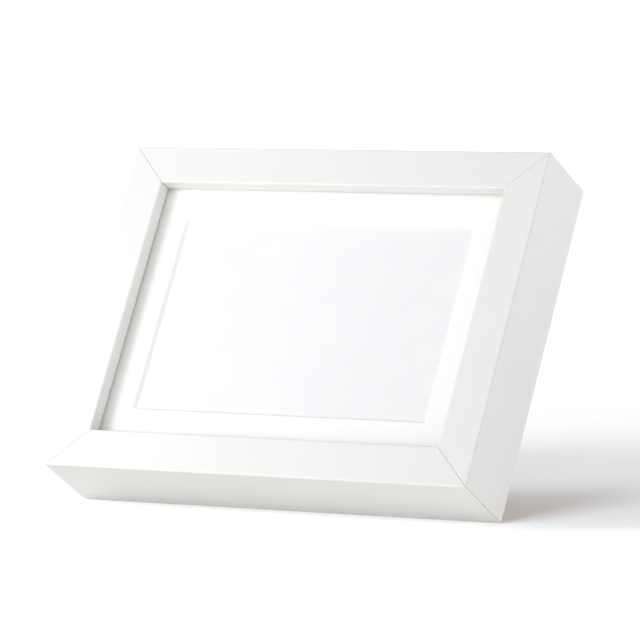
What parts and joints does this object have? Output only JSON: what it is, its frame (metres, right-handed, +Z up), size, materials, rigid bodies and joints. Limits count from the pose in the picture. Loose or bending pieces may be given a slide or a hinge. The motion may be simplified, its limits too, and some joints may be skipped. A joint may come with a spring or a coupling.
{
  "type": "shadow box",
  "caption": "Deep white mitred display box frame with glazing, bevelled mat and box space, leaning back on a folding easel leg, with sawtooth hangers for a wall.",
  "frame": {"origin": "on the table, under the middle of the standing frame's footprint", "axes": "+Z up; the glazed face looks towards -Y and leans back 29.3 degrees; +X to the viewer's right"},
  "size_m": [0.203, 0.1152, 0.1514],
  "materials": {
    "white_foil": "smooth satin white foil on fibreboard moulding",
    "clear_glazing": "clear polished glazing sheet",
    "mat_board": "white mat board with a bevelled window",
    "picture_card": "plain cool white card",
    "spacer_board": "white painted fibreboard strips",
    "liner_cloth": "natural linen over a thin pad",
    "fibreboard": "bare medium-density fibreboard",
    "nickel_plate": "nickel-plated stamped steel",
    "zinc_steel": "zinc-plated steel",
    "brass_plate": "brass-plated stamped steel",
    "soft_bumper": "translucent white soft plastic",
    "stay_ribbon": "woven cotton tape"
  },
  "bodies": {
    "case": {"top_rail": "white_foil", "bottom_rail": "white_foil", "left_rail": "white_foil", "right_rail": "white_foil", "corner_v_nails": "zinc_steel", "glazing": "clear_glazing", "mat_board": "mat_board", "picture_card": "picture_card", "top_spacer": "spacer_board", "bottom_spacer": "spacer_board", "left_spacer": "spacer_board", "right_spacer": "spacer_board", "liner_pad": "liner_cloth", "back_board": "fibreboard", "turn_button_screws": "zinc_steel", "top_hanger": "brass_plate", "side_hanger": "brass_plate", "hanger_nails": "brass_plate", "wall_bumpers": "soft_bumper", "hinge_base_plate": "nickel_plate", "hinge_base_rivets": "zinc_steel", "hinge_pin": "zinc_steel", "stay_ribbon": "stay_ribbon", "board_staple": "zinc_steel"},
    "easel_leg": {"easel_leg": "fibreboard", "hinge_leg_plate": "nickel_plate", "hinge_leg_rivets": "zinc_steel", "leg_staple": "zinc_steel"},
    "turn_button_top_left": {"turn_button_top_left": "nickel_plate"},
    "turn_button_top_right": {"turn_button_top_right": "nickel_plate"},
    "turn_button_bottom_left": {"turn_button_bottom_left": "nickel_plate"},
    "turn_button_bottom_right": {"turn_button_bottom_right": "nickel_plate"}
  },
  "joints": [
    {"name": "easel_fold", "type": "hinge", "parent": "case", "child": "easel_leg", "pos_m": [0, 0.02938, 0.09684], "axis": [-1, 0, 0], "range_deg": [0, 44], "deforming": ["stay_ribbon"]},
    {"name": "turn_button_top_left_turn", "type": "hinge", "parent": "case", "child": "turn_button_top_left", "pos_m": [-0.06, 0.04604, 0.12877], "axis": [0, 0.8721, -0.4894], "range_deg": [-90, 90]},
    {"name": "turn_button_top_right_turn", "type": "hinge", "parent": "case", "child": "turn_button_top_right", "pos_m": [0.06, 0.04604, 0.12877], "axis": [0, 0.8721, -0.4894], "range_deg": [-90, 90]},
    {"name": "turn_button_bottom_left_turn", "type": "hinge", "parent": "case", "child": "turn_button_bottom_left", "pos_m": [-0.06, -0.02345, 0.00494], "axis": [0, 0.8721, -0.4894], "range_deg": [-90, 90]},
    {"name": "turn_button_bottom_right_turn", "type": "hinge", "parent": "case", "child": "turn_button_bottom_right", "pos_m": [0.06, -0.02345, 0.00494], "axis": [0, 0.8721, -0.4894], "range_deg": [-90, 90]}
  ]
}
